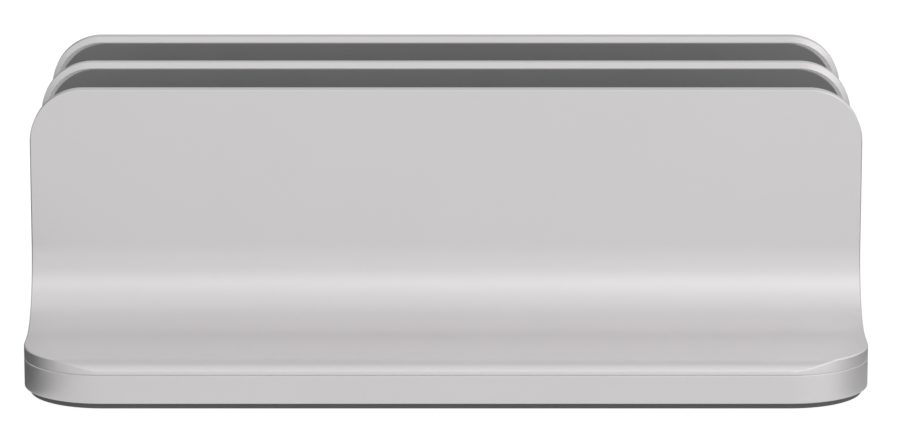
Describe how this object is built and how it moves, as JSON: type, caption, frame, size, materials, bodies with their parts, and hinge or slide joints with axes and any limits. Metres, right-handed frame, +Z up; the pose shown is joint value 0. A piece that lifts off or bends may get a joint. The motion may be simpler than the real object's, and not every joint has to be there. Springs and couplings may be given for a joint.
{
  "type": "vertical laptop stand",
  "caption": "Desk stand with upright plates on flat feet that hold closed laptops on edge in padded slots, whose wings slide on a plate below to set the slot width.",
  "frame": {"origin": "on the table, under the middle of the stand: the centre of the bounding box's bottom", "axes": "+X along the uprights, +Z up, front wing towards -Y"},
  "size_m": [0.19, 0.154, 0.064],
  "materials": {
    "aluminium": "bead-blasted, silver anodised",
    "silicone": "matt dark grey silicone",
    "sole_rubber": "matt dark grey rubber",
    "screw_steel": "satin steel"
  },
  "bodies": {
    "base": {"center_plate": "aluminium", "slide_plate": "aluminium", "center_sole": "sole_rubber", "center_front_pad": "silicone", "center_rear_pad": "silicone", "front_floor_pad": "silicone", "rear_floor_pad": "silicone", "center_screws": "screw_steel"},
    "front_wing_body": {"front_wing": "aluminium", "front_foot_plate": "aluminium", "front_sole": "sole_rubber", "front_wing_pad": "silicone", "front_clamp_screws": "screw_steel", "front_foot_screws": "screw_steel"},
    "rear_wing_body": {"rear_wing": "aluminium", "rear_foot_plate": "aluminium", "rear_sole": "sole_rubber", "rear_wing_pad": "silicone", "rear_clamp_screws": "screw_steel", "rear_foot_screws": "screw_steel"}
  },
  "joints": [
    {"name": "front_wing_slide", "type": "slide", "parent": "base", "child": "front_wing_body", "axis": [0, -1, 0], "range_m": [-0.01, 0.01]},
    {"name": "rear_wing_slide", "type": "slide", "parent": "base", "child": "rear_wing_body", "axis": [0, 1, 0], "range_m": [-0.01, 0.01]}
  ]
}
